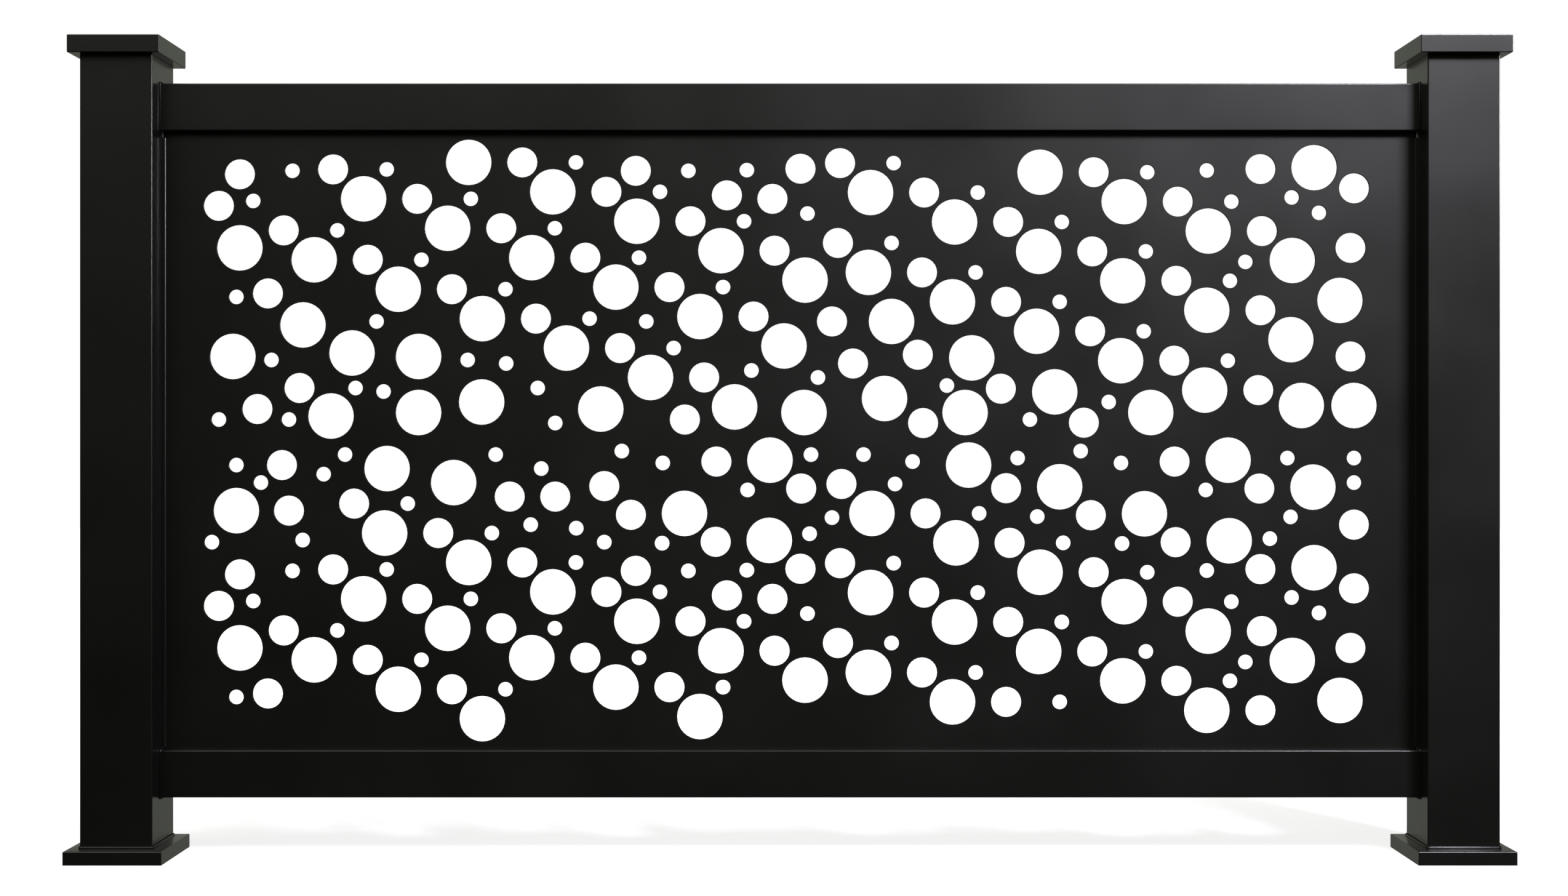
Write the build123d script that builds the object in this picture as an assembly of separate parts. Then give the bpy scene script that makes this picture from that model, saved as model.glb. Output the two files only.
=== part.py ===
from build123d import *

from math import hypot
import os

# Perforated fence panel: a sheet with scattered round holes, held by beads in a frame of
# two rails between two square posts. Millimetres, +Z up, front facing -Y. The origin is the
# middle of the left foot's underside, and +X runs along the panel to the right post.

# Posts: square tube, four inches wide
POST_SPACING = 1891.4
POST_SIDE = 101.6
POST_WALL = 2.5
POST_CORNER = 2.0

# Feet: solid plates whose tops rise a little towards the post, to shed water
FOOT_OVERHANG = 18.2
FOOT_RIM = 19.0
FOOT_RISE = 2.0
FOOT_LEDGE = 1.5

# Caps: flat slabs with a socket that sits over the post's end
CAP_OVERHANG = 13.7
CAP_HEIGHT = 25.0
CAP_ROOF = 6.0
CAP_EDGE = 1.0
CAP_CLEARANCE = 0.5
TOTAL_HEIGHT = 1160.2

# Rails: rectangular tube, centred in the depth of the posts, with a slot for the sheet
RAIL_HEIGHT = 67.0
RAIL_DEPTH = 30.0
RAIL_WALL = 2.0
RAIL_CORNER = 1.5
BOTTOM_RAIL_LIFT = 85.7
TOP_RAIL_DROP = 60.0
SLOT_CLEARANCE = 0.3

# Sheet: its upper and lower edges stand this deep in the rails, and its sides clear the posts
SHEET_THICKNESS = 3.0
SHEET_CLEARANCE = 1.0
SHEET_DEPTH = 10.0

# Beads on the posts, which hold the sheet's sides from both faces and end short of the rails
BEAD_SIDE = 6.0
BEAD_ROUND = 2.0
BEAD_LIFT = 4.0
BEAD_DROP = 9.0

# Round holes of the sheet. Each is drawn as a polygon of few sides about its circle, because
# there are hundreds of them. The web is the least metal left between two holes.
SMALL_HOLE, SMALL_SIDES = 21.0, 7
MEDIUM_HOLE, MEDIUM_SIDES = 43.0, 10
LARGE_HOLE, LARGE_SIDES = 65.0, 12
HOLE_WEB = 3.0

# Unpierced margin of the opening at its sides, and at its top and bottom
SIDE_MARGIN = 55.0
END_MARGIN = 8.0

# The layout repeats once down the sheet, by this drop. All places are (x, z) from the
# sheet's centre.
REPEAT_DROP = 571.0

# A chain is a trio of small, medium and large hole, stepped along. In a falling chain each
# trio runs down at a slant, and in a level or a steep one it lies almost level.
# Each line gives the first medium hole, the first hole counted from the trio's small one,
# the number of holes, and the number in the repeat.
FALLING_STEP, FALLING_TRIO = (120.0, -42.0), (43.5, -42.0)
FALLING_CHAINS = (
    ((-722.5, 300.0), 0, 18, 10),
    ((-652.0, 387.0), 0, 18, 16),
    ((-622.0, 481.0), 0, 18, 18),
    ((68.5, 282.0), 0, 17, 10),
    ((71.5, 396.0), 0, 18, 18),
    ((73.5, 509.0), 0, 18, 18),
)
LEVEL_STEP, LEVEL_TRIO = (121.0, -38.5), (76.5, 2.0)
LEVEL_CHAINS = (
    ((308.5, 503.0), 1, 12, 12),
    ((549.0, 541.0), 0, 7, 7),
    ((-227.0, 465.0), 1, 7, 7),
    ((-105.0, 541.0), 0, 5, 5),
)
STEEP_STEP, STEEP_TRIO = (118.5, -48.5), (77.0, -4.5)
STEEP_CHAINS = (((182.5, 122.5), 1, 7, 0),)

# Loose holes on a 5 mm grid fill the gaps between the chains
UPPER_SMALL = ((-790, 205), (-710, 385), (-145, 385), (650, 255), (755, 325))
UPPER_MEDIUM = (
    (-815, 335), (-785, 380), (-745, 210), (-220, 385),
    (-90, 350), (-25, 345), (800, 275), (805, 360),
)
UPPER_LARGE = ((-785, 275), (785, 200))
MIDDLE_SMALL = (
    (-825, -145), (-815, 30), (-790, -35), (-755, -60), (-740, 115), (-715, 30),
    (-635, -20), (-620, 75), (-590, 170), (-580, 70), (-460, 115), (-420, -20),
    (-405, 110), (-370, -120), (-360, 75), (-355, -40), (-335, 25), (-305, -125),
    (-265, -145), (-240, -15), (-205, 170), (-55, 100), (40, 90), (60, -110),
    (105, -20), (175, -30), (325, -25), (415, -15), (455, 55), (685, -140),
    (710, -25), (805, -25), (805, -60),
)
MIDDLE_MEDIUM = (
    (-760, 45), (-725, -35), (-715, -100), (-700, 75), (-400, -80), (-335, -80), (-265, -65),
    (-150, 30), (60, 170), (90, 110), (190, 25), (800, 120), (805, -120),
)
MIDDLE_LARGE = (
    (-795, 120), (-790, -100), (-695, 165), (-655, 35), (-625, 125), (-575, -40), (-530, 40),
    (-530, 120), (-480, -60), (-440, 55), (-270, 45), (20, 40), (135, 60), (145, 170),
    (145, -400), (250, 40), (255, -35), (515, 40), (730, 50), (805, 50),
)

# Places worked out from the sizes above
FOOT_TOP = FOOT_RIM + FOOT_RISE
POST_TOP = TOTAL_HEIGHT - CAP_ROOF
OPENING_LEFT = POST_SIDE / 2
OPENING_RIGHT = POST_SPACING - POST_SIDE / 2
OPENING_WIDTH = OPENING_RIGHT - OPENING_LEFT
OPENING_BOTTOM = BOTTOM_RAIL_LIFT + RAIL_HEIGHT
OPENING_TOP = TOTAL_HEIGHT - TOP_RAIL_DROP - RAIL_HEIGHT
OPENING_HEIGHT = OPENING_TOP - OPENING_BOTTOM
CENTRE_X = (OPENING_LEFT + OPENING_RIGHT) / 2
CENTRE_Z = (OPENING_BOTTOM + OPENING_TOP) / 2


def tube_section(width, height, wall, corner):
    """Outline of a rectangular tube with rounded outer corners."""
    return RectangleRounded(width, height, corner) - Rectangle(width - 2 * wall, height - 2 * wall)


def post(x):
    """Tube from the top of the foot to the roof of the cap's socket."""
    section = tube_section(POST_SIDE, POST_SIDE, POST_WALL, POST_CORNER)
    return Pos(x, 0, FOOT_TOP) * extrude(section, POST_TOP - FOOT_TOP)


def foot(x):
    """Plate whose top slopes down on all sides from a flat just wider than the post."""
    side = POST_SIDE + 2 * FOOT_OVERHANG
    plate = extrude(Rectangle(side, side), FOOT_TOP)
    top = plate.faces().sort_by(Axis.Z)[-1]
    sloped = chamfer(top.edges(), FOOT_OVERHANG - FOOT_LEDGE, FOOT_RISE, reference=top)
    return Pos(x, 0, 0) * sloped


def cap(x):
    """Slab with eased edges, over a socket that clears the post all round."""
    side = POST_SIDE + 2 * CAP_OVERHANG
    slab = extrude(Rectangle(side, side), CAP_HEIGHT)
    slab = chamfer(slab.edges(), CAP_EDGE)
    socket_side = POST_SIDE + 2 * CAP_CLEARANCE
    slab -= extrude(Rectangle(socket_side, socket_side), CAP_HEIGHT - CAP_ROOF)
    return Pos(x, 0, TOTAL_HEIGHT - CAP_HEIGHT) * slab


def rail(underside, slot_side):
    """Tube between the posts, its ends flat on their inner faces.

    slot_side is 1 where the slot for the sheet runs along the rail's top, and -1 along its underside.
    """
    tube = tube_section(RAIL_DEPTH, RAIL_HEIGHT, RAIL_WALL, RAIL_CORNER)
    slot = Rectangle(SHEET_THICKNESS + 2 * SLOT_CLEARANCE, 4 * RAIL_WALL)
    section = tube - Pos(0, slot_side * RAIL_HEIGHT / 2) * slot
    end = Plane((OPENING_LEFT, 0, underside + RAIL_HEIGHT / 2), (0, 1, 0), (1, 0, 0))
    return extrude(end * section, OPENING_WIDTH)


def bead(x, into, outward):
    """Upright bead of square section with its free edge rounded, flat on a post and the sheet.

    x is the post's face. into is 1 where the opening lies in +X from it, and outward is 1 on
    the sheet's back and -1 on its front.
    """
    outline = Pos(BEAD_SIDE / 2, BEAD_SIDE / 2) * Rectangle(BEAD_SIDE, BEAD_SIDE)
    free_edge = outline.vertices().sort_by(lambda vertex: vertex.X + vertex.Y)[-1]
    section = fillet(free_edge, BEAD_ROUND)
    start = Vector(x, outward * SHEET_THICKNESS / 2, OPENING_BOTTOM + BEAD_LIFT)
    corner = Plane(start, (into, 0, 0), (0, 0, into * outward))
    length = OPENING_HEIGHT - BEAD_LIFT - BEAD_DROP
    return extrude(corner * section, length, dir=(0, 0, 1))


def chain(start, first, count, step, trio):
    """Holes of one chain, as (size, x, z), where size is 0 small, 1 medium or 2 large."""
    for index in range(first, first + count):
        along, size = divmod(index, 3)
        x = start[0] + along * step[0] + (size - 1) * trio[0]
        z = start[1] + along * step[1] + (size - 1) * trio[1]
        yield size, x, z


def layout():
    """Every hole as (size, x, z), before the margins cut the layout off."""
    kinds = (
        (FALLING_CHAINS, FALLING_STEP, FALLING_TRIO),
        (LEVEL_CHAINS, LEVEL_STEP, LEVEL_TRIO),
        (STEEP_CHAINS, STEEP_STEP, STEEP_TRIO),
    )
    for chains, step, trio in kinds:
        for start, first, count, repeat_count in chains:
            yield from chain(start, first, count, step, trio)
            for size, x, z in chain(start, first, repeat_count, step, trio):
                yield size, x, z - REPEAT_DROP
    for size, places in enumerate((UPPER_SMALL, UPPER_MEDIUM, UPPER_LARGE)):
        for x, z in places:
            yield size, x, z
            yield size, x, z - REPEAT_DROP
    for size, places in enumerate((MIDDLE_SMALL, MIDDLE_MEDIUM, MIDDLE_LARGE)):
        for x, z in places:
            yield size, x, z


def pierced():
    """The layout's holes that lie whole inside the margins and clear of those before them."""
    radii = (SMALL_HOLE / 2, MEDIUM_HOLE / 2, LARGE_HOLE / 2)
    reach_x = OPENING_WIDTH / 2 - SIDE_MARGIN
    reach_z = OPENING_HEIGHT / 2 - END_MARGIN
    kept = []
    for size, x, z in layout():
        radius = radii[size]
        inside = abs(x) + radius <= reach_x and abs(z) + radius <= reach_z
        webs = (hypot(x - u, z - v) - radius - radii[other] for other, u, v in kept)
        if inside and all(web >= HOLE_WEB for web in webs):
            kept.append((size, x, z))
    return kept


def sheet():
    """Flat sheet that fills the opening and the rails' slots, pierced by the layout."""
    width = OPENING_WIDTH - 2 * SHEET_CLEARANCE
    height = OPENING_HEIGHT + 2 * SHEET_DEPTH
    outlines = [
        RegularPolygon(diameter / 2, sides, major_radius=False).wire()
        for diameter, sides in (
            (SMALL_HOLE, SMALL_SIDES),
            (MEDIUM_HOLE, MEDIUM_SIDES),
            (LARGE_HOLE, LARGE_SIDES),
        )
    ]
    holes = [Pos(x, z) * outlines[size] for size, x, z in pierced()]
    face = Face(Rectangle(width, height).wire(), holes)
    back = Plane((CENTRE_X, SHEET_THICKNESS / 2, CENTRE_Z), (1, 0, 0), (0, -1, 0))
    return extrude(back * face, SHEET_THICKNESS)


pieces = {
    "perforated_sheet": sheet(),
    "top_rail": rail(OPENING_TOP, -1),
    "bottom_rail": rail(BOTTOM_RAIL_LIFT, 1),
}
for side, x, into in (("left", 0.0, 1), ("right", POST_SPACING, -1)):
    pieces[side + "_post"] = post(x)
    pieces[side + "_post_cap"] = cap(x)
    pieces[side + "_post_foot"] = foot(x)
    for face, outward in (("front", -1), ("back", 1)):
        pieces[face + "_" + side + "_bead"] = bead(x + into * POST_SIDE / 2, into, outward)

os.makedirs("parts", exist_ok=True)
for name, piece in pieces.items():
    export_step(piece, "parts/" + name + ".step")
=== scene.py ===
from math import acos, ceil, cos, pi, radians

import bmesh
import bpy
from bpy.props import FloatProperty, IntProperty, PointerProperty, StringProperty
from mathutils import Matrix, Vector


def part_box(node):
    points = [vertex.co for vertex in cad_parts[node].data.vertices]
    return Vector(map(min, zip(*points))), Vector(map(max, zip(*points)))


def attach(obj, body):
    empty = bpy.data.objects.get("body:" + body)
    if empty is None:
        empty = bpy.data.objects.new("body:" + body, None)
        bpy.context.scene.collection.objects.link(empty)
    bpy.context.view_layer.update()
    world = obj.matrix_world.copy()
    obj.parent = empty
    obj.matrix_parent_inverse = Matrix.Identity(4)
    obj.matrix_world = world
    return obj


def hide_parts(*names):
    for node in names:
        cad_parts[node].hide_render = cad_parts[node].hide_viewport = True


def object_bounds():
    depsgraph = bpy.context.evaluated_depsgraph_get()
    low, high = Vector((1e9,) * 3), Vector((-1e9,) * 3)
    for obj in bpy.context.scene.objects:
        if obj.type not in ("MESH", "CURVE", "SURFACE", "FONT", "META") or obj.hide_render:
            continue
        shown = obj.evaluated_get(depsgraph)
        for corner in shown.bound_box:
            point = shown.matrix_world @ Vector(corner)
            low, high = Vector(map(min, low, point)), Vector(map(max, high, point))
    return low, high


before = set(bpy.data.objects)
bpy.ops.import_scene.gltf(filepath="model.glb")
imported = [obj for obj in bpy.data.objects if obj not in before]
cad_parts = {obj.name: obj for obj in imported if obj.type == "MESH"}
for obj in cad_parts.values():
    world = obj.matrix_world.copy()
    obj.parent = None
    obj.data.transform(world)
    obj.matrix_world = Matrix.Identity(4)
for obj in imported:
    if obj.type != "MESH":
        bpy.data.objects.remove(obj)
CAD_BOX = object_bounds()

# A powder coated fence panel: two capped posts on foot plates, two slotted rails that take the
# edges of a perforated sheet, and slim beads down the sheet's sides. Every size comes from the
# frame, in metres, apart from the rounded edges, the slopes, the welds and the holes' rims, which
# the settings below hold.

bl_info = {
    "name": "Perforated Fence Panel",
    "version": (1, 0, 0),
    "blender": (4, 5, 0),
    "location": "View3D > Sidebar > Fence Panel",
    "description": "Builds a powder coated fence panel with a sheet of scattered round holes",
    "category": "Add Mesh",
}

SIDES = ("left", "right")
ALONG_X = Vector((1, 0, 0))
ALONG_Y = Vector((0, 1, 0))
ALONG_Z = Vector((0, 0, 1))
# Cosine above which two directions count as one
SAME_WAY = 0.99
# Distances, in metres, under which two places count as one: in a piece made here, and in the CAD mesh
SAME_PLACE = 1e-6
SAME_CAD_PLACE = 0.00002
# Angle above which an edge is shaded sharp
SHARP_ANGLE = radians(50)
# The coat's film thickness drifts over a hand's breadth, and with it the gloss and the black
DRIFT_MM = 180
GLOSS_DRIFT = 0.03
TONE_DRIFT = 0.15
# Roughness of the resin skin, and how much smoother the coat dries over a weld
SKIN_ROUGHNESS = 0.18
WELD_SMOOTHER = 0.05


class FencePanelShape(bpy.types.PropertyGroup):
    """Rounded edges, welds and holes of the panel."""

    post_corner: FloatProperty(
        name="Post corner", description="Radius of the posts' upright corners",
        default=0.002, min=0.0005, unit="LENGTH")
    rail_corner: FloatProperty(
        name="Rail corner", description="Radius of the rails' long corners",
        default=0.0015, min=0.0005, unit="LENGTH")
    slot_clearance: FloatProperty(
        name="Slot clearance", description="Gap between the sheet and the rails' slots",
        default=0.0003, min=0.0, unit="LENGTH")
    cap_edge: FloatProperty(
        name="Cap edge", description="Radius of the caps' edges",
        default=0.0012, min=0.0002, unit="LENGTH")
    cap_roof: FloatProperty(
        name="Cap roof", description="Metal over the socket that takes the post's end",
        default=0.006, min=0.001, unit="LENGTH")
    cap_clearance: FloatProperty(
        name="Cap clearance", description="Gap between the post and the socket's walls",
        default=0.0005, min=0.0, unit="LENGTH")
    foot_edge: FloatProperty(
        name="Foot edge", description="Radius of the feet's rims",
        default=0.0012, min=0.0002, unit="LENGTH")
    foot_rise: FloatProperty(
        name="Foot rise", description="How far a foot's top rises from its rim to the post",
        default=0.002, min=0.0, unit="LENGTH")
    foot_ledge: FloatProperty(
        name="Foot ledge", description="Flat left round the post at the top of the slope",
        default=0.0015, min=0.0, unit="LENGTH")
    bead_round: FloatProperty(
        name="Bead edge", description="Radius of the beads' free edge",
        default=0.002, min=0.0002, unit="LENGTH")
    weld_leg: FloatProperty(
        name="Weld leg", description="Width of the welds at the rail ends and post feet",
        default=0.002, min=0.0005, unit="LENGTH")
    weld_crown: FloatProperty(
        name="Weld crown", description="How far a weld's face swells between its toes",
        default=0.0004, min=0.0, unit="LENGTH")
    hole_rim: FloatProperty(
        name="Hole rim", description="Rounding of the holes' edges",
        default=0.0007, min=0.0001, unit="LENGTH")
    hole_tolerance: FloatProperty(
        name="Hole tolerance", description="How far the sides that draw a hole may leave its circle",
        default=0.0002, min=0.00002, unit="LENGTH")
    round_segments: IntProperty(
        name="Round segments", description="Faces across a rounded edge", default=5, min=1)


class FencePanelFinish(bpy.types.PropertyGroup):
    """Colours and gloss of the coats, as sRGB hex values."""

    coat_colour: StringProperty(
        name="Coat", description="Colour of the posts, rails, caps, feet and beads",
        default="#0f0f0d")
    sheet_colour: StringProperty(
        name="Sheet coat", description="Colour of the perforated sheet", default="#0f0f0d")
    coat_roughness: FloatProperty(
        name="Coat roughness", description="Roughness of the satin coat",
        default=0.36, min=0.0, max=1.0, subtype="FACTOR")
    coat_skin: FloatProperty(
        name="Coat skin", description="Weight of the smooth resin skin over the satin coat",
        default=0.8, min=0.0, max=1.0, subtype="FACTOR")
    sheet_roughness: FloatProperty(
        name="Sheet roughness", description="Roughness of the sheet's coat",
        default=0.37, min=0.0, max=1.0, subtype="FACTOR")
    floor_colour: StringProperty(
        name="Floor", description="Colour of the pale floor", default="#e9eaea")


class FencePanelStage(bpy.types.PropertyGroup):
    """Lights of the studio."""

    key_power: FloatProperty(
        name="Key light", description="Power of the soft light at the upper right",
        default=23.5, min=0.0, unit="POWER")
    side_power: FloatProperty(
        name="Side light", description="Power of the narrow light from the right",
        default=2.0, min=0.0, unit="POWER")


def linear(hex_colour):
    """An sRGB hex colour as linear RGBA."""
    channels = [int(hex_colour[i:i + 2], 16) / 255 for i in (1, 3, 5)]
    return [c / 12.92 if c <= 0.04045 else ((c + 0.055) / 1.055) ** 2.4 for c in channels] + [1.0]


def per_mm(size):
    """Texture scale at which one feature of a pattern is about so many millimetres across."""
    return 1000 / size


def add_node(tree, kind, settings=None, values=None, links=None):
    """A node with its settings, the values of its sockets, and links into them."""
    node = tree.nodes.new(kind)
    for name, setting in (settings or {}).items():
        setattr(node, name, setting)
    for name, value in (values or {}).items():
        node.inputs[name].default_value = value
    for name, socket in (links or {}).items():
        tree.links.new(socket, node.inputs[name])
    return node


def powder_coat(name, colour, roughness, skin, peel_mm, peel_depth):
    """Polyester powder coat: baked plastic film with a fine orange peel and a cloudy gloss.

    Its resin skin is smoother than the pigmented film under it, so edges catch thin bright lines.
    """
    if name in bpy.data.materials:
        return bpy.data.materials[name]
    material = bpy.data.materials.new(name)
    material.use_nodes = True
    tree = material.node_tree
    tree.nodes.clear()
    place = add_node(tree, "ShaderNodeTexCoord").outputs["Object"]
    peel = add_node(
        tree, "ShaderNodeTexNoise", values={"Scale": per_mm(peel_mm), "Detail": 2.0},
        links={"Vector": place})
    bump = add_node(
        tree, "ShaderNodeBump", values={"Strength": 1.0, "Distance": peel_depth},
        links={"Height": peel.outputs["Fac"]})
    drift = add_node(
        tree, "ShaderNodeTexNoise", values={"Scale": per_mm(DRIFT_MM), "Detail": 3.0},
        links={"Vector": place})
    gloss = add_node(
        tree, "ShaderNodeMapRange",
        values={
            "From Min": 0.3,
            "From Max": 0.7,
            "To Min": roughness - GLOSS_DRIFT,
            "To Max": roughness + GLOSS_DRIFT,
        },
        links={"Value": drift.outputs["Fac"]})
    film = linear(colour)[:3]
    tone = add_node(
        tree, "ShaderNodeMix", {"data_type": "RGBA"},
        values={
            "A": [(1 - TONE_DRIFT) * c for c in film] + [1.0],
            "B": [(1 + TONE_DRIFT) * c for c in film] + [1.0],
        },
        links={"Factor": drift.outputs["Fac"]})
    shader = add_node(
        tree, "ShaderNodeBsdfPrincipled",
        values={"IOR": 1.5, "Coat Weight": skin, "Coat Roughness": SKIN_ROUGHNESS},
        links={
            "Base Color": tone.outputs["Result"],
            "Roughness": gloss.outputs["Result"],
            "Normal": bump.outputs["Normal"],
        })
    add_node(tree, "ShaderNodeOutputMaterial", links={"Surface": shader.outputs["BSDF"]})
    return material


def satin_coat(context):
    """Satin black coat of the frame: dark, with soft wide reflections.

    Its real peel is 2 to 3 mm across and too fine to show, so it is drawn at 6 mm.
    """
    finish = context.scene.fence_finish
    return powder_coat(
        "satin_black_powder_coat", finish.coat_colour, finish.coat_roughness, finish.coat_skin,
        peel_mm=6, peel_depth=0.000006)


def sheet_coat(context):
    """The sheet's coat: the same black without the smooth skin, so a little more matt."""
    finish = context.scene.fence_finish
    return powder_coat(
        "matt_black_powder_coat", finish.sheet_colour, finish.sheet_roughness, skin=0.0,
        peel_mm=5, peel_depth=0.00001)


def weld_coat(context):
    """The same coat over a weld, whose ripples of about 3 mm show through it."""
    finish = context.scene.fence_finish
    return powder_coat(
        "coated_weld_bead", finish.coat_colour, finish.coat_roughness - WELD_SMOOTHER, finish.coat_skin,
        peel_mm=3, peel_depth=0.0002)


def box_mesh(low, high):
    """A bmesh with one box between two corners."""
    bm = bmesh.new()
    bmesh.ops.create_cube(bm, size=1.0)
    bmesh.ops.scale(bm, vec=Vector(high) - Vector(low), verts=bm.verts)
    bmesh.ops.translate(bm, vec=(Vector(high) + Vector(low)) / 2, verts=bm.verts)
    return bm


def rounded_outline(width, height, corner, segments):
    """A bmesh with one rounded rectangle about the origin, on the plane z = 0."""
    bm = bmesh.new()
    bmesh.ops.create_grid(bm, x_segments=1, y_segments=1, size=0.5)
    bmesh.ops.scale(bm, vec=(width, height, 1), verts=bm.verts)
    bmesh.ops.bevel(
        bm, geom=bm.verts[:], offset=corner, offset_type="OFFSET", segments=segments,
        profile=0.5, affect="VERTICES", material=-1)
    return bm


def edges_along(bm, direction):
    """The edges that run in a direction."""
    chosen = []
    for edge in bm.edges:
        run = (edge.verts[1].co - edge.verts[0].co).normalized()
        if abs(run.dot(direction)) > SAME_WAY:
            chosen.append(edge)
    return chosen


def facing(bm, direction):
    """The largest face that looks in a direction."""
    bm.normal_update()
    alike = [f for f in bm.faces if f.normal.dot(direction) > SAME_WAY]
    return max(alike, key=lambda f: f.calc_area())


def verts_of(geometry):
    """The vertices among the elements that a bmesh operation returns."""
    return [element for element in geometry if isinstance(element, bmesh.types.BMVert)]


def round_edges(bm, edges, radius, segments):
    """Rounds edges."""
    bmesh.ops.bevel(
        bm, geom=edges, offset=radius, offset_type="OFFSET", segments=segments, profile=0.5,
        affect="EDGES", material=-1)


def add_piece(name, bm, material, node=None):
    """Makes a finished piece of a bmesh, riding on the panel's one body."""
    mesh = bpy.data.meshes.new(name)
    bm.to_mesh(mesh)
    bm.free()
    mesh.shade_smooth()
    mesh.set_sharp_from_angle(angle=SHARP_ANGLE)
    mesh.materials.append(material)
    piece = bpy.data.objects.new(name, mesh)
    bpy.context.scene.collection.objects.link(piece)
    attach(piece, "root")
    if node:
        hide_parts(node)
    return piece


def even_shading(piece):
    """Keeps the broad flat faces flat beside their rounded edges."""
    modifier = piece.modifiers.new("Even shading", "WEIGHTED_NORMAL")
    modifier.keep_sharp = True


class FENCE_OT_posts(bpy.types.Operator):
    """Two square posts with rounded corners"""

    bl_idname = "fence.posts"
    bl_label = "Posts"

    def execute(self, context):
        shape = context.scene.fence_shape
        for side in SIDES:
            node = side + "_post"
            bm = box_mesh(*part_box(node))
            round_edges(bm, edges_along(bm, ALONG_Z), shape.post_corner, shape.round_segments)
            even_shading(add_piece(node + "_tube", bm, satin_coat(context), node))
        return {"FINISHED"}


class FENCE_OT_caps(bpy.types.Operator):
    """Two flat caps, each with a socket over its post's end"""

    bl_idname = "fence.caps"
    bl_label = "Caps"

    def execute(self, context):
        shape = context.scene.fence_shape
        for side in SIDES:
            node = side + "_post_cap"
            low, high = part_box(node)
            post_low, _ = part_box(side + "_post")
            overhang = post_low[0] - low[0] - shape.cap_clearance
            bm = box_mesh(low, high)
            round_edges(bm, bm.edges[:], shape.cap_edge, shape.round_segments)
            underside = facing(bm, -ALONG_Z)
            bmesh.ops.inset_region(
                bm, faces=[underside], thickness=overhang - shape.cap_edge, use_even_offset=True)
            socket = bmesh.ops.extrude_face_region(bm, geom=[underside])["geom"]
            socket_depth = high[2] - low[2] - shape.cap_roof
            bmesh.ops.translate(bm, vec=ALONG_Z * socket_depth, verts=verts_of(socket))
            bmesh.ops.delete(bm, geom=[underside], context="FACES_ONLY")
            bmesh.ops.recalc_face_normals(bm, faces=bm.faces)
            even_shading(add_piece(node + "_cover", bm, satin_coat(context), node))
        return {"FINISHED"}


class FENCE_OT_feet(bpy.types.Operator):
    """Two foot plates whose tops slope up to the posts"""

    bl_idname = "fence.feet"
    bl_label = "Feet"

    def execute(self, context):
        shape = context.scene.fence_shape
        for side in SIDES:
            node = side + "_post_foot"
            low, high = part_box(node)
            post_low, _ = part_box(side + "_post")
            overhang = post_low[0] - low[0]
            bm = box_mesh(low, (high[0], high[1], high[2] - shape.foot_rise))
            rim = [e for e in bm.edges if any(v.co.z > low[2] + SAME_PLACE for v in e.verts)]
            round_edges(bm, rim, shape.foot_edge, shape.round_segments)
            top = facing(bm, ALONG_Z)
            bmesh.ops.inset_region(
                bm, faces=[top], thickness=overhang - shape.foot_ledge - shape.foot_edge,
                use_even_offset=True)
            bmesh.ops.translate(bm, vec=ALONG_Z * shape.foot_rise, verts=top.verts)
            even_shading(add_piece(node + "_plate", bm, satin_coat(context), node))
        return {"FINISHED"}


class FENCE_OT_rails(bpy.types.Operator):
    """Top and bottom rail with rounded corners, each with a slot for the sheet's edge"""

    bl_idname = "fence.rails"
    bl_label = "Rails"

    def execute(self, context):
        shape = context.scene.fence_shape
        sheet_low, sheet_high = (Vector(corner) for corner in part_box("perforated_sheet"))
        slot_half = (sheet_high.y - sheet_low.y) / 2 + shape.slot_clearance
        for node, slot_way in (("top_rail", -1), ("bottom_rail", 1)):
            low, high = (Vector(corner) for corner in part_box(node))
            middle = (low + high) / 2
            sheet_edge = sheet_high.z if slot_way < 0 else sheet_low.z
            bm = rounded_outline(
                high.y - low.y, high.z - low.z, shape.rail_corner, shape.round_segments)
            slot_floor = sheet_edge - slot_way * shape.slot_clearance - middle.z
            cuts = (
                ((-slot_half, 0, 0), ALONG_X),
                ((slot_half, 0, 0), ALONG_X),
                ((0, slot_floor, 0), ALONG_Y),
            )
            for place, normal in cuts:
                bmesh.ops.bisect_plane(
                    bm, geom=bm.verts[:] + bm.edges[:] + bm.faces[:], plane_co=place, plane_no=normal)
            slot = [
                f for f in bm.faces
                if abs(f.calc_center_median().x) < slot_half
                and slot_way * (f.calc_center_median().y - slot_floor) > 0
            ]
            bmesh.ops.delete(bm, geom=slot, context="FACES")
            run = bmesh.ops.extrude_face_region(bm, geom=bm.faces[:])["geom"]
            bmesh.ops.translate(bm, vec=(0, 0, high.x - low.x), verts=verts_of(run))
            bmesh.ops.recalc_face_normals(bm, faces=bm.faces)
            # From the outline's plane, with its run along z, to a run along x
            turn = Matrix(((0, 0, 1), (1, 0, 0), (0, 1, 0)))
            bmesh.ops.rotate(bm, matrix=turn, verts=bm.verts)
            bmesh.ops.translate(bm, vec=(low.x, middle.y, middle.z), verts=bm.verts)
            even_shading(add_piece(node + "_tube", bm, satin_coat(context), node))
        return {"FINISHED"}


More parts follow.
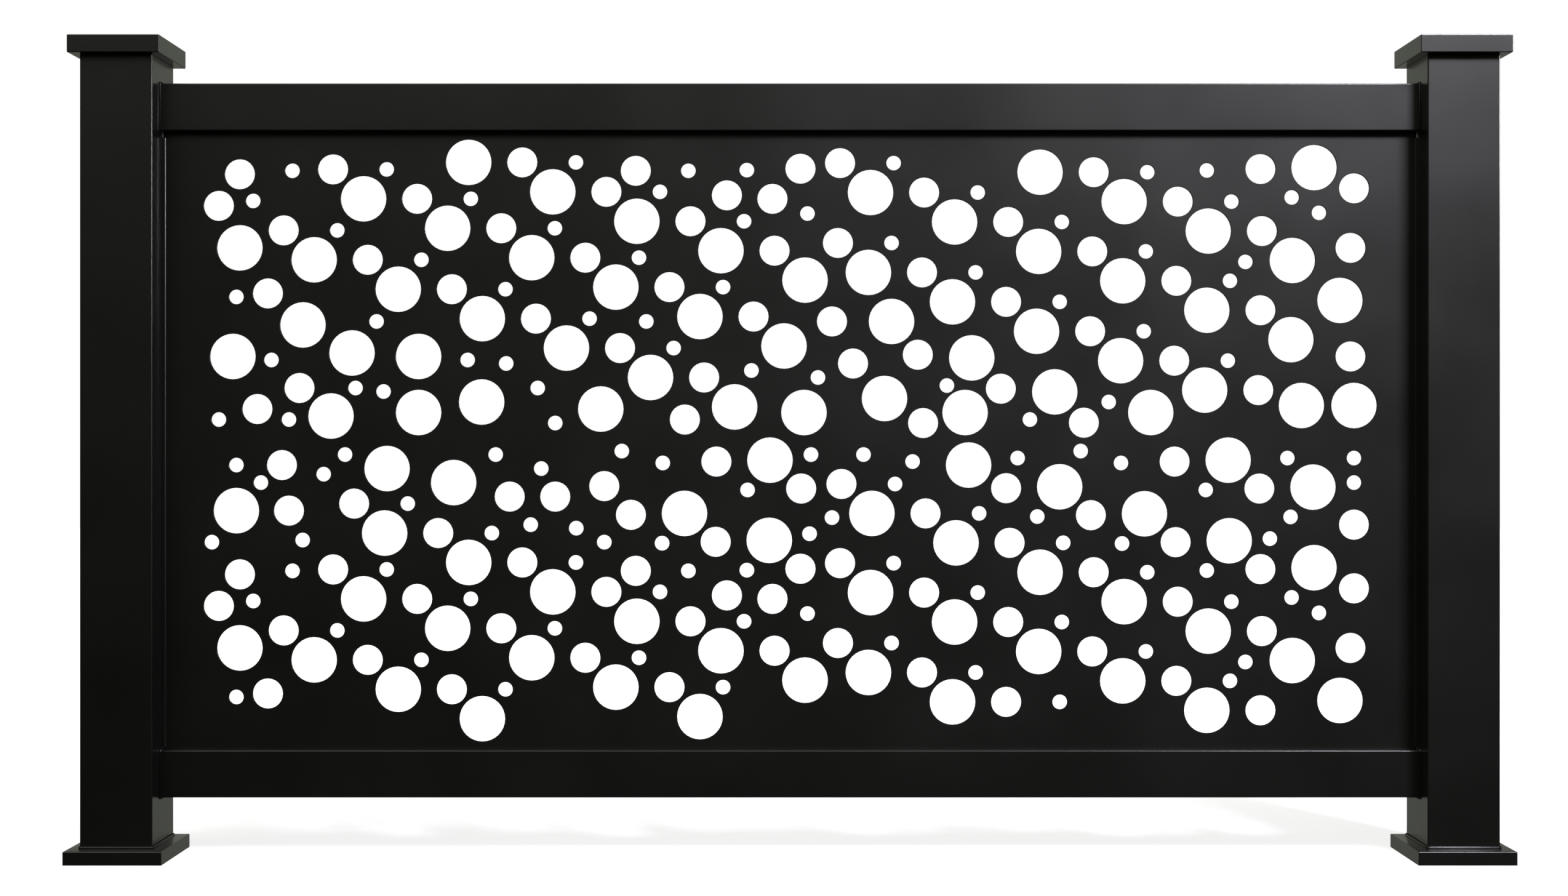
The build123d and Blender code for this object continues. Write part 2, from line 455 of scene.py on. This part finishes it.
class FENCE_OT_beads(bpy.types.Operator):
    """Four beads on the posts that hold the sheet's sides, front and back"""

    bl_idname = "fence.beads"
    bl_label = "Beads"

    def execute(self, context):
        shape = context.scene.fence_shape
        for face, outward in (("front", -ALONG_Y), ("back", ALONG_Y)):
            for side, inward in zip(SIDES, (ALONG_X, -ALONG_X)):
                node = face + "_" + side + "_bead"
                bm = box_mesh(*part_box(node))
                free_edge = max(
                    edges_along(bm, ALONG_Z),
                    key=lambda e: e.verts[0].co.dot(inward + outward))
                round_edges(bm, [free_edge], shape.bead_round, shape.round_segments)
                even_shading(add_piece(node + "_strip", bm, satin_coat(context), node))
        return {"FINISHED"}


def hole_circles():
    """Centre and radius of each hole, from the loops round the CAD sheet's front face.

    A CAD hole is a polygon about its circle, so its corners lie outside the true radius.
    """
    bm = bmesh.new()
    bm.from_mesh(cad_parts["perforated_sheet"].data)
    bmesh.ops.remove_doubles(bm, verts=bm.verts, dist=SAME_CAD_PLACE)
    bm.normal_update()
    front = [f for f in bm.faces if f.normal.y < -SAME_WAY]
    rim = {e for f in front for e in f.edges if any(g.normal.y > -SAME_WAY for g in e.link_faces)}
    circles = []
    while rim:
        loop = set()
        reached = [rim.pop()]
        while reached:
            edge = reached.pop()
            for vert in edge.verts:
                loop.add(vert)
                joined = [e for e in vert.link_edges if e in rim]
                rim.difference_update(joined)
                reached.extend(joined)
        # The sheet's own outline is the one loop of four corners
        if len(loop) > 4:
            corners = sorted((v.co for v in loop), key=tuple)
            centre = sum(corners, Vector()) / len(corners)
            reach = sum((corner - centre).length for corner in corners) / len(corners)
            circles.append((centre, reach * cos(pi / len(corners))))
    bm.free()
    return sorted(circles, key=lambda circle: tuple(circle[0]))


def hole_rim(radius, front, back, shape):
    """Mesh of a hole's wall and its two rounded rims, about the y axis."""
    bm = bmesh.new()
    profile = (
        (radius + shape.hole_rim, front),
        (radius, front + shape.hole_rim),
        (radius, back - shape.hole_rim),
        (radius + shape.hole_rim, back),
    )
    verts = [bm.verts.new((out, y, 0)) for out, y in profile]
    edges = [bm.edges.new(pair) for pair in zip(verts, verts[1:])]
    sides = 4 * ceil(pi / acos(1 - shape.hole_tolerance / radius) / 4)
    bmesh.ops.spin(
        bm, geom=verts + edges, cent=(0, 0, 0), axis=ALONG_Y, angle=2 * pi, steps=sides,
        use_merge=True, use_duplicate=False)
    mesh = bpy.data.meshes.new("hole_rim")
    bm.to_mesh(mesh)
    bm.free()
    return mesh


class FENCE_OT_sheet(bpy.types.Operator):
    """Perforated sheet with rounded rims at every hole"""

    bl_idname = "fence.sheet"
    bl_label = "Perforated sheet"

    def execute(self, context):
        shape = context.scene.fence_shape
        low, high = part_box("perforated_sheet")
        front, back = low[1], high[1]
        bm = box_mesh(low, high)
        bmesh.ops.delete(
            bm, geom=[facing(bm, ALONG_Y), facing(bm, -ALONG_Y)], context="FACES_ONLY")
        circles = hole_circles()
        if not circles:
            raise RuntimeError("the frame's sheet has no holes")
        rims = {}
        for centre, radius in circles:
            # Holes that agree to a tenth of a millimetre share one rim
            size = round(radius, 4)
            if size not in rims:
                rims[size] = hole_rim(size, front, back, shape)
            placed = len(bm.verts)
            bm.from_mesh(rims[size])
            bm.verts.ensure_lookup_table()
            bmesh.ops.translate(bm, vec=(centre.x, 0, centre.z), verts=bm.verts[placed:])
        for rim in rims.values():
            bpy.data.meshes.remove(rim)
        for y, normal in ((front, -ALONG_Y), (back, ALONG_Y)):
            edges = [
                e for e in bm.edges
                if e.is_boundary and all(abs(v.co.y - y) < SAME_PLACE for v in e.verts)
            ]
            bmesh.ops.triangle_fill(bm, edges=edges, use_beauty=True, normal=normal)
        bmesh.ops.recalc_face_normals(bm, faces=bm.faces)
        sheet = add_piece(
            "perforated_sheet_panel", bm, sheet_coat(context), "perforated_sheet")
        for polygon in sheet.data.polygons:
            polygon.use_smooth = abs(polygon.normal.y) < SAME_WAY
        return {"FINISHED"}


def weld_ring(width, height, corner, leg, crown, segments):
    """A weld round a tube of rounded rectangular section that stands on the plane z = 0."""
    bm = rounded_outline(width + 2 * leg, height + 2 * leg, corner + leg, segments)
    foot = bm.faces[:][0]
    toe = [e for e in bm.edges if e.is_boundary]
    bmesh.ops.inset_region(bm, faces=[foot], thickness=leg, use_even_offset=True)
    raised = bmesh.ops.extrude_face_region(bm, geom=[foot])["geom"]
    bmesh.ops.translate(bm, vec=ALONG_Z * leg, verts=verts_of(raised))
    lid = [f for f in raised if isinstance(f, bmesh.types.BMFace)]
    upper = list(lid[0].edges)
    bmesh.ops.delete(bm, geom=lid + [foot], context="FACES_ONLY")
    slope = bmesh.ops.bridge_loops(bm, edges=toe + upper)
    bmesh.ops.recalc_face_normals(bm, faces=bm.faces)
    across = [e for e in slope["edges"] if abs(e.verts[0].co.z - e.verts[1].co.z) > leg / 2]
    middle = bmesh.ops.subdivide_edges(bm, edges=across, cuts=2, use_grid_fill=True)["geom_inner"]
    bm.normal_update()
    for vert in verts_of(middle):
        vert.co += vert.normal * crown
    return bm


class FENCE_OT_welds(bpy.types.Operator):
    """Welds round the post feet and the rail ends, under the coat"""

    bl_idname = "fence.welds"
    bl_label = "Welds"

    def execute(self, context):
        shape = context.scene.fence_shape
        for side in SIDES:
            low, high = (Vector(corner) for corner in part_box(side + "_post"))
            bm = weld_ring(
                high.x - low.x, high.y - low.y, shape.post_corner, shape.weld_leg,
                shape.weld_crown, shape.round_segments)
            bmesh.ops.translate(
                bm, vec=((low.x + high.x) / 2, (low.y + high.y) / 2, low.z), verts=bm.verts)
            add_piece(side + "_foot_weld", bm, weld_coat(context))
            for rail in ("top_rail", "bottom_rail"):
                low, high = (Vector(corner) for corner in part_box(rail))
                end = low.x if side == "left" else high.x
                turn = Matrix.Rotation(radians(90 if side == "left" else -90), 3, "Y")
                bm = weld_ring(
                    high.z - low.z, high.y - low.y, shape.rail_corner, shape.weld_leg,
                    shape.weld_crown, shape.round_segments)
                bmesh.ops.rotate(bm, matrix=turn, verts=bm.verts)
                bmesh.ops.translate(
                    bm, vec=(end, (low.y + high.y) / 2, (low.z + high.z) / 2), verts=bm.verts)
                add_piece(rail + "_" + side + "_weld", bm, weld_coat(context))
        return {"FINISHED"}


def add_light(name, place, aim, size, spread, power, colour):
    """A square soft light behind a grid that narrows its beam, looking at a point."""
    lamp = bpy.data.lights.new(name, "AREA")
    lamp.shape = "SQUARE"
    lamp.size = size
    lamp.spread = radians(spread)
    lamp.energy = power
    lamp.color = linear(colour)[:3]
    light = bpy.data.objects.new(name, lamp)
    light.location = place
    light.rotation_euler = (Vector(aim) - Vector(place)).to_track_quat("-Z", "Y").to_euler()
    light.visible_camera = False
    bpy.context.scene.collection.objects.link(light)


class FENCE_OT_stage(bpy.types.Operator):
    """Camera, floor, lights and white surroundings"""

    bl_idname = "fence.stage"
    bl_label = "Stage"

    def execute(self, context):
        scene = context.scene
        scene.view_settings.view_transform = "Standard"
        self.add_camera(scene)
        self.add_floor(scene)
        stage = scene.fence_stage
        add_light(
            "key_softbox", place=(3.05, -3.0, 3.3), aim=(1.8, 0.0, 1.05), size=1.1, spread=52,
            power=stage.key_power, colour="#f6f4ff")
        add_light(
            "side_softbox", place=(4.6, -0.95, 1.6), aim=(0.05, -0.05, 0.9), size=0.6, spread=30,
            power=stage.side_power, colour="#ffffff")
        self.light_surroundings(scene)
        return {"FINISHED"}

    def add_camera(self, scene):
        """Level, straight in front of the panel's middle."""
        low, high = (Vector(corner) for corner in CAD_BOX)
        camera = bpy.data.objects.new("camera", bpy.data.cameras.new("camera"))
        camera.data.sensor_fit = "HORIZONTAL"
        camera.data.sensor_width = 36.0
        camera.data.lens = 47.625
        camera.data.shift_x = -0.0038
        camera.location = ((low.x + high.x) / 2, -2.9608, 0.5823)
        camera.rotation_euler = (radians(90), 0, 0)
        scene.collection.objects.link(camera)
        scene.camera = camera

    def add_floor(self, scene):
        """Pale floor that is white to the camera and keeps a faint shadow near the feet."""
        bm = bmesh.new()
        bmesh.ops.create_grid(bm, x_segments=1, y_segments=1, size=12.0)
        mesh = bpy.data.meshes.new("floor")
        bm.to_mesh(mesh)
        bm.free()
        floor = bpy.data.objects.new("floor", mesh)
        floor.visible_glossy = False
        scene.collection.objects.link(floor)
        material = bpy.data.materials.new("pale_matt_floor")
        material.use_nodes = True
        tree = material.node_tree
        tree.nodes.clear()
        rays = add_node(tree, "ShaderNodeLightPath")
        place = add_node(tree, "ShaderNodeTexCoord").outputs["Object"]
        low, high = (Vector(corner) for corner in CAD_BOX)
        # Within an oval round the panel's foot the floor is less than white, so a shadow shows
        near = add_node(
            tree, "ShaderNodeMapping", {"vector_type": "TEXTURE"},
            values={"Location": ((low.x + high.x) / 2, 0, 0), "Scale": (1.7, 0.9, 1)},
            links={"Vector": place})
        nearness = add_node(
            tree, "ShaderNodeTexGradient", {"gradient_type": "SPHERICAL"},
            links={"Vector": near.outputs["Vector"]})
        white = add_node(
            tree, "ShaderNodeMapRange", {"interpolation_type": "SMOOTHSTEP"},
            values={"From Min": 0.0, "From Max": 0.4, "To Min": 1.0, "To Max": 0.82},
            links={"Value": nearness.outputs["Fac"]})
        seen = add_node(
            tree, "ShaderNodeMath", {"operation": "MULTIPLY"},
            links={0: rays.outputs["Is Camera Ray"], 1: white.outputs["Result"]})
        paint = add_node(
            tree, "ShaderNodeBsdfDiffuse",
            values={"Color": linear(scene.fence_finish.floor_colour)})
        glow = add_node(
            tree, "ShaderNodeEmission", values={"Color": (1, 1, 1, 1)},
            links={"Strength": seen.outputs["Value"]})
        both = add_node(
            tree, "ShaderNodeAddShader", links={0: paint.outputs["BSDF"], 1: glow.outputs["Emission"]})
        add_node(tree, "ShaderNodeOutputMaterial", links={"Surface": both.outputs["Shader"]})
        mesh.materials.append(material)

    def light_surroundings(self, scene):
        """White all round to the camera.

        The coat sees a glow behind the panel and a dome of light at its front and upper left.
        """
        world = bpy.data.worlds.new("studio")
        world.use_nodes = True
        scene.world = world
        tree = world.node_tree
        tree.nodes.clear()
        rays = add_node(tree, "ShaderNodeLightPath")
        way = add_node(tree, "ShaderNodeTexCoord").outputs["Generated"]
        parts = add_node(tree, "ShaderNodeSeparateXYZ", links={"Vector": way})
        # Each fade runs along one axis, between two places and two levels
        glow_fades = (
            ("Y", 0.6, 0.9, 0.0, 0.26),
            ("Z", -0.42, -0.08, 0.04, 1.0),
            ("Z", 0.22, 0.5, 1.0, 0.0),
        )
        dome_fades = (
            ("Y", -0.5, 0.1, 1.0, 0.0),
            ("X", -0.2, 0.4, 1.0, 0.1),
            ("Z", 0.15, 0.6, 0.0, 1.5),
        )
        levels = []
        for fades in (glow_fades, dome_fades):
            level = None
            for axis, first, last, low, high in fades:
                fade = add_node(
                    tree, "ShaderNodeMapRange", {"interpolation_type": "SMOOTHSTEP"},
                    values={"From Min": first, "From Max": last, "To Min": low, "To Max": high},
                    links={"Value": parts.outputs[axis]}).outputs["Result"]
                if level is not None:
                    fade = add_node(
                        tree, "ShaderNodeMath", {"operation": "MULTIPLY"},
                        links={0: level, 1: fade}).outputs["Value"]
                level = fade
            levels.append(level)
        glow, dome = levels
        both = add_node(tree, "ShaderNodeMath", {"operation": "ADD"}, links={0: glow, 1: dome})
        strength = add_node(
            tree, "ShaderNodeMath", {"operation": "MAXIMUM"},
            links={0: rays.outputs["Is Camera Ray"], 1: both.outputs["Value"]})
        # The walls are a warmer white than the lamps
        tint = add_node(
            tree, "ShaderNodeMix", {"data_type": "RGBA"},
            values={"A": linear("#faffee"), "B": (1, 1, 1, 1)},
            links={"Factor": rays.outputs["Is Camera Ray"]})
        sky = add_node(
            tree, "ShaderNodeBackground",
            links={"Color": tint.outputs["Result"], "Strength": strength.outputs["Value"]})
        add_node(tree, "ShaderNodeOutputWorld", links={"Surface": sky.outputs["Background"]})


class FENCE_PT_panel(bpy.types.Panel):
    """Settings and steps of the fence panel"""

    bl_idname = "FENCE_PT_panel"
    bl_label = "Fence Panel"
    bl_space_type = "VIEW_3D"
    bl_region_type = "UI"
    bl_category = "Fence Panel"

    def draw(self, context):
        for group in (context.scene.fence_shape, context.scene.fence_finish, context.scene.fence_stage):
            column = self.layout.column(align=True)
            for name in group.__annotations__:
                column.prop(group, name)
        for operator in OPERATORS:
            self.layout.operator(operator.bl_idname)


OPERATORS = (
    FENCE_OT_posts,
    FENCE_OT_caps,
    FENCE_OT_feet,
    FENCE_OT_rails,
    FENCE_OT_beads,
    FENCE_OT_sheet,
    FENCE_OT_welds,
    FENCE_OT_stage,
)
CLASSES = (FencePanelShape, FencePanelFinish, FencePanelStage) + OPERATORS + (FENCE_PT_panel,)


def register():
    for cls in CLASSES:
        bpy.utils.register_class(cls)
    bpy.types.Scene.fence_shape = PointerProperty(type=FencePanelShape)
    bpy.types.Scene.fence_finish = PointerProperty(type=FencePanelFinish)
    bpy.types.Scene.fence_stage = PointerProperty(type=FencePanelStage)


def unregister():
    del bpy.types.Scene.fence_stage
    del bpy.types.Scene.fence_finish
    del bpy.types.Scene.fence_shape
    for cls in reversed(CLASSES):
        bpy.utils.unregister_class(cls)


def main():
    register()
    bpy.ops.fence.posts()
    bpy.ops.fence.caps()
    bpy.ops.fence.feet()
    bpy.ops.fence.rails()
    bpy.ops.fence.beads()
    bpy.ops.fence.sheet()
    bpy.ops.fence.welds()
    bpy.ops.fence.stage()


if __name__ == "__main__":
    main()
